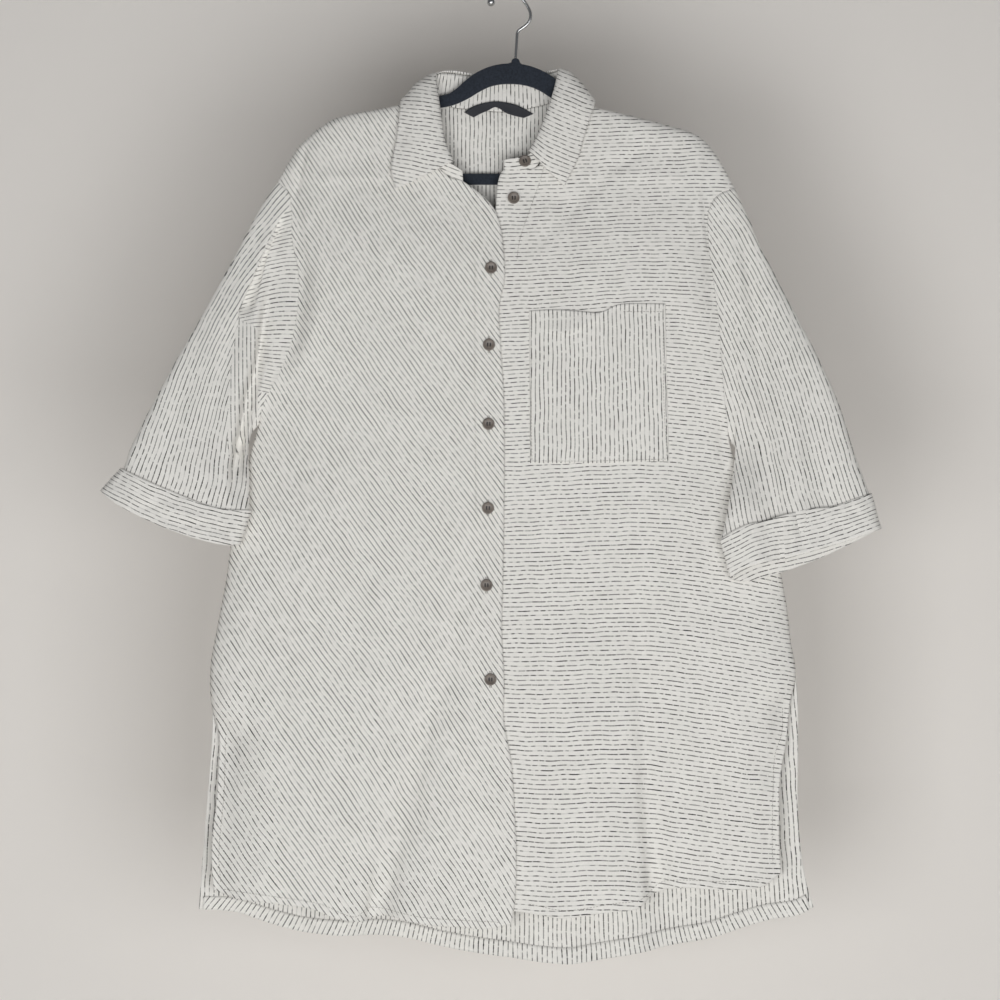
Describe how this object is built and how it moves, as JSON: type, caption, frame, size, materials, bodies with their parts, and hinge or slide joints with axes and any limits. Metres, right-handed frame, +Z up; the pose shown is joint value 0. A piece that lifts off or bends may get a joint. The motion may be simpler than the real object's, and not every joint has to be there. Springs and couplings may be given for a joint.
{
  "type": "shirt tunic on a hanger",
  "caption": "Long, wide button-front shirt tunic with a collar, turned-up sleeves and a chest pocket, hanging on a slim arched hanger with a wire hook.",
  "frame": {"origin": "inside the top of the hanger's hook, where a rail or nail carries it", "axes": "+Z up, -Y the garment's front, +X the wearer's left"},
  "size_m": [0.7811, 0.0607, 0.9765],
  "materials": {
    "back_hem_facing": "light plain weave with fine broken dark stripes",
    "back_panel": "light plain weave with fine broken dark stripes",
    "button_1": "moulded, slightly shiny",
    "button_2": "moulded, slightly shiny",
    "button_3": "moulded, slightly shiny",
    "button_4": "moulded, slightly shiny",
    "button_5": "moulded, slightly shiny",
    "button_6": "moulded, slightly shiny",
    "button_7": "moulded, slightly shiny",
    "button_8": "moulded, slightly shiny",
    "chest_pocket": "light plain weave with fine broken dark stripes",
    "collar_leaf": "light plain weave with fine broken dark stripes",
    "collar_stand": "light plain weave with fine broken dark stripes",
    "cuff_left": "light plain weave with fine broken dark stripes",
    "cuff_right": "light plain weave with fine broken dark stripes",
    "front_left": "light plain weave with fine broken dark stripes",
    "front_right": "light plain weave with fine broken dark stripes",
    "hanger_body": "flocked, dull",
    "hanger_hook": "polished plated wire",
    "neck_label": "woven tape, blank",
    "sleeve_left": "light plain weave with fine broken dark stripes",
    "sleeve_right": "light plain weave with fine broken dark stripes"
  },
  "bodies": {
    "root": {"back_hem_facing": "back_hem_facing", "back_panel": "back_panel", "button_1": "button_1", "button_2": "button_2", "button_3": "button_3", "button_4": "button_4", "button_5": "button_5", "button_6": "button_6", "button_7": "button_7", "button_8": "button_8", "chest_pocket": "chest_pocket", "collar_leaf": "collar_leaf", "collar_stand": "collar_stand", "cuff_left": "cuff_left", "cuff_right": "cuff_right", "front_left": "front_left", "front_right": "front_right", "hanger_body": "hanger_body", "hanger_hook": "hanger_hook", "neck_label": "neck_label", "sleeve_left": "sleeve_left", "sleeve_right": "sleeve_right"}
  },
  "joints": []
}
